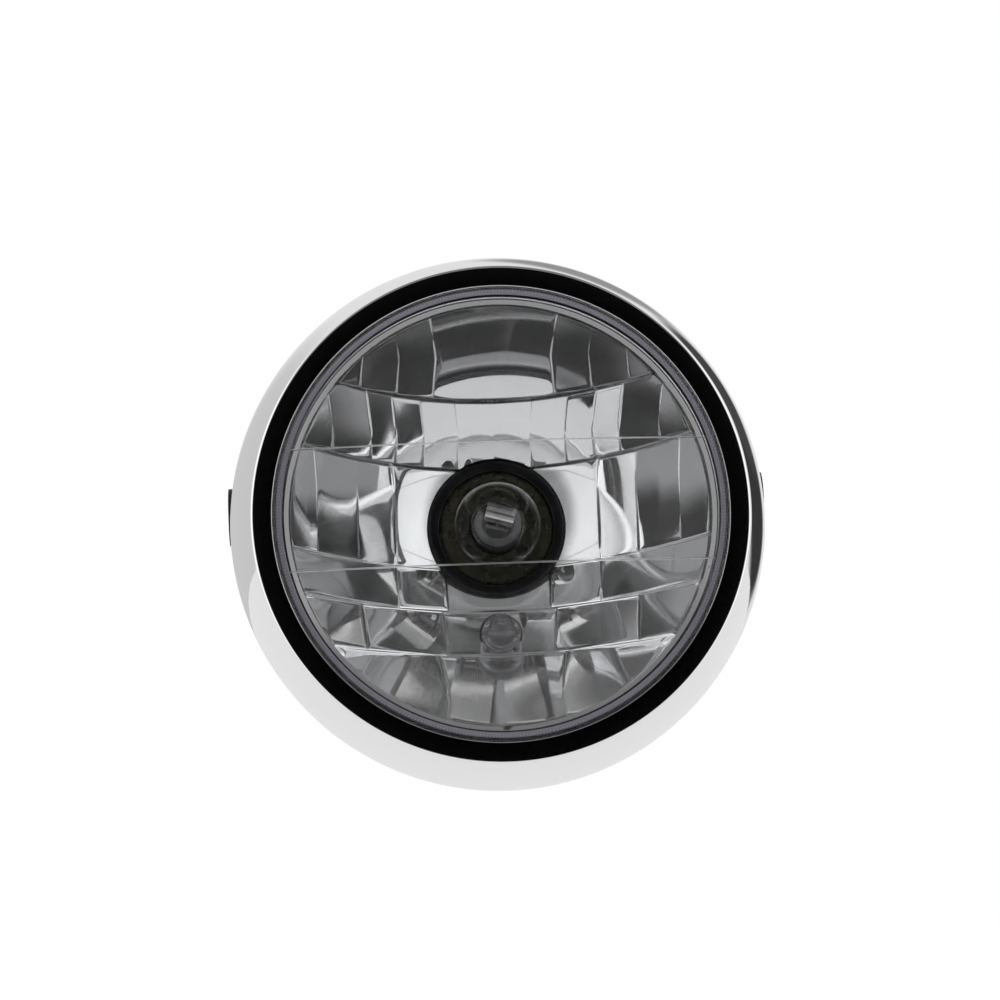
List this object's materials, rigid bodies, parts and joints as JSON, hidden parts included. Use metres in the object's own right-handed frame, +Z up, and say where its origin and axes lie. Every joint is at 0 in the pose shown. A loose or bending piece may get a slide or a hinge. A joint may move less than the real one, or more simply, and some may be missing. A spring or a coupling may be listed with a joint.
{
  "type": "motorcycle headlight",
  "caption": "Round motorcycle headlight: chromed rim, clear domed lens, faceted reflector with main and pilot bulbs, and a black bucket held by bolts in its sides.",
  "frame": {"origin": "on the lamp axis, halfway between the lens's front and the grommet's rear face, in the plane of the side bolts", "axes": "+Y from lens to bucket along the lamp axis, +X through the right side bolt hole, +Z up"},
  "size_m": [0.1738, 0.114, 0.17],
  "materials": {
    "rim_chrome": "polished",
    "lens_glass": "clear, polished",
    "reflector_mirror": "vacuum-metallised",
    "bucket_paint": "gloss black",
    "black_plastic": "satin black",
    "black_rubber": "matt black",
    "bulb_glass": "clear",
    "cap_brass": "plated, dull",
    "lead_wire": "drawn wire",
    "filament_metal": "dull grey",
    "cap_insulator": "glassy black",
    "plated_steel": "zinc plated",
    "sealant": "grey"
  },
  "bodies": {
    "root": {"rim": "rim_chrome", "lens": "lens_glass", "lens_seal": "black_rubber", "lens_sealant": "sealant", "reflector": "reflector_mirror", "reflector_spring_clips": "plated_steel", "bulb_collar": "black_plastic", "main_bulb_glass": "bulb_glass", "main_bulb_cap": "cap_brass", "main_bulb_stem": "bulb_glass", "main_bulb_supports": "lead_wire", "main_bulb_shield": "plated_steel", "low_beam_filament": "filament_metal", "high_beam_filament": "filament_metal", "main_bulb_insulator": "cap_insulator", "main_bulb_contacts": "cap_brass", "bulb_socket": "black_plastic", "socket_contact_leaves": "cap_brass", "pilot_bulb_glass": "bulb_glass", "pilot_bulb_filament": "filament_metal", "pilot_bulb_holder": "black_rubber", "bucket": "bucket_paint", "rim_gasket": "black_rubber", "cable_grommet": "black_rubber", "left_mount_spacer": "black_rubber", "right_mount_spacer": "black_rubber", "left_weld_nut": "plated_steel", "right_weld_nut": "plated_steel", "rim_tabs": "plated_steel", "rim_hook": "plated_steel", "rim_clip_nuts": "plated_steel", "rim_screws": "plated_steel"}
  },
  "joints": []
}
